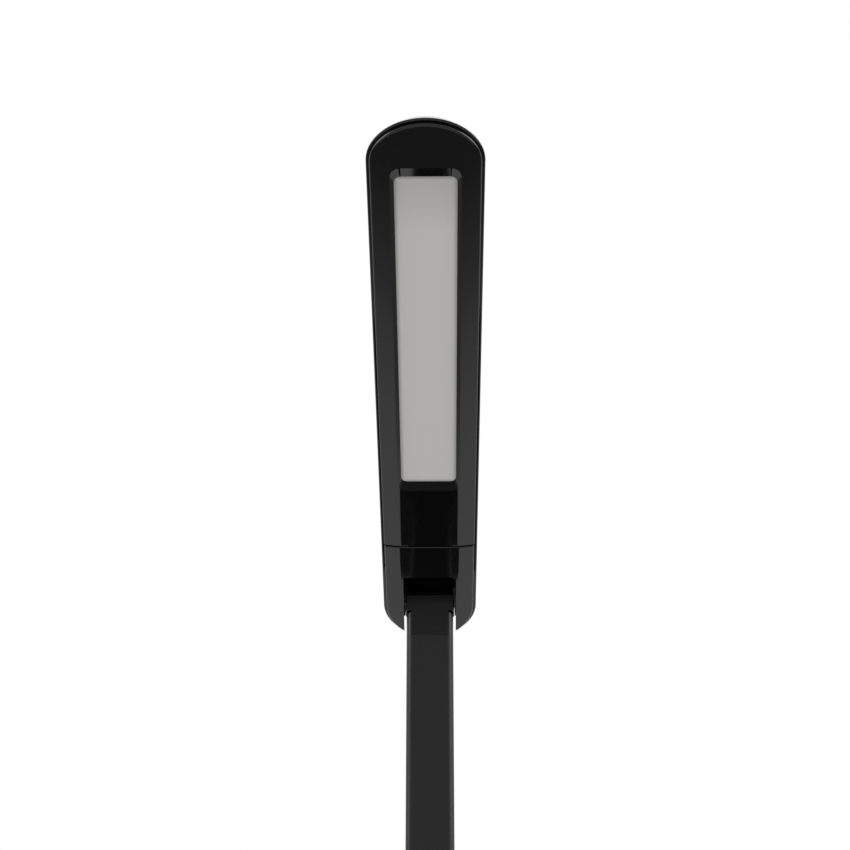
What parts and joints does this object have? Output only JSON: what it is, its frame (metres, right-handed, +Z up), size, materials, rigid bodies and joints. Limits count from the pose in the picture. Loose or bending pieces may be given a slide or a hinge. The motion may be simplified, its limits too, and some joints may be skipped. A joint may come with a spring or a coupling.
{
  "type": "led table lamp",
  "caption": "LED desk lamp: slim glossy head with a recessed frosted light window, flat satin tilting arm on friction hinges, weighted round-cornered base with a push button.",
  "frame": {"origin": "centre of the base's footprint, on the face that rests on the desk", "axes": "+Z up, -Y to the lamp's front where the head points, +X to the right seen from the front"},
  "size_m": [0.112, 0.2605, 0.4471],
  "materials": {
    "head_gloss_black": "high-gloss black moulding",
    "diffuser_frost": "frosted milky acrylic",
    "reflector_white": "satin white",
    "board_white": "white solder mask on a metal core",
    "led_phosphor": "yellow phosphor",
    "spreader_aluminium": "plain rolled",
    "lead_jacket": "dull black jacket",
    "steel_fastener": "zinc-plated",
    "black_screw": "black oxide",
    "friction_fibre": "pressed fibre",
    "arm_anodised": "black satin anodised",
    "cap_black": "satin black moulding",
    "bush_bronze": "plain turned",
    "base_gloss_black": "high-gloss black moulding",
    "plate_steel": "black painted sheet",
    "ballast_iron": "raw plate",
    "pad_rubber": "matt foam rubber",
    "fork_black": "satin black paint",
    "control_green": "green board",
    "component_black": "dull black",
    "jack_pin_plated": "nickel plated",
    "button_grey": "satin dark grey"
  },
  "bodies": {
    "base": {"base_cover": "base_gloss_black", "base_plate": "plate_steel", "ballast_plate": "ballast_iron", "anti_slip_pad": "pad_rubber", "base_hinge_fork": "fork_black", "fork_screws": "steel_fastener", "base_screws": "steel_fastener", "control_board": "control_green", "driver_parts": "component_black", "tact_switch": "component_black", "dc_jack": "component_black", "dc_jack_pin": "jack_pin_plated", "base_leads": "lead_jacket", "base_hinge_bolt": "steel_fastener", "base_lock_nut": "steel_fastener", "base_spring_washers": "steel_fastener", "base_friction_discs": "friction_fibre", "hinge_end_caps": "cap_black"},
    "arm": {"arm_tube": "arm_anodised", "arm_top_cap": "cap_black", "arm_bottom_cap": "cap_black", "arm_top_bush": "bush_bronze", "arm_bottom_bush": "bush_bronze", "cap_screws": "black_screw", "arm_lead": "lead_jacket"},
    "head": {"head_back_shell": "head_gloss_black", "face_bezel": "head_gloss_black", "neck_cover": "head_gloss_black", "diffuser": "diffuser_frost", "reflector_tray": "reflector_white", "led_board": "board_white", "led_chips": "led_phosphor", "heat_spreader": "spreader_aluminium", "head_lead": "lead_jacket", "head_screws": "black_screw", "head_hinge_bolt": "steel_fastener", "head_lock_nut": "steel_fastener", "head_spring_washers": "steel_fastener", "head_friction_discs": "friction_fibre"},
    "button": {"power_button": "button_grey", "switch_plunger": "component_black"}
  },
  "joints": [
    {"name": "arm_tilt", "type": "hinge", "parent": "base", "child": "arm", "pos_m": [0, 0.032, 0.026], "axis": [-1, 0, 0], "range_deg": [-60, 20]},
    {"name": "head_tilt", "type": "hinge", "parent": "arm", "child": "head", "pos_m": [0, 0.05553, 0.29497], "axis": [1, 0, 0], "range_deg": [-60, 78]},
    {"name": "button_press", "type": "slide", "parent": "base", "child": "button", "axis": [0, 0, -1], "range_m": [0, 0.001], "stiffness_N_per_m": 2500}
  ]
}
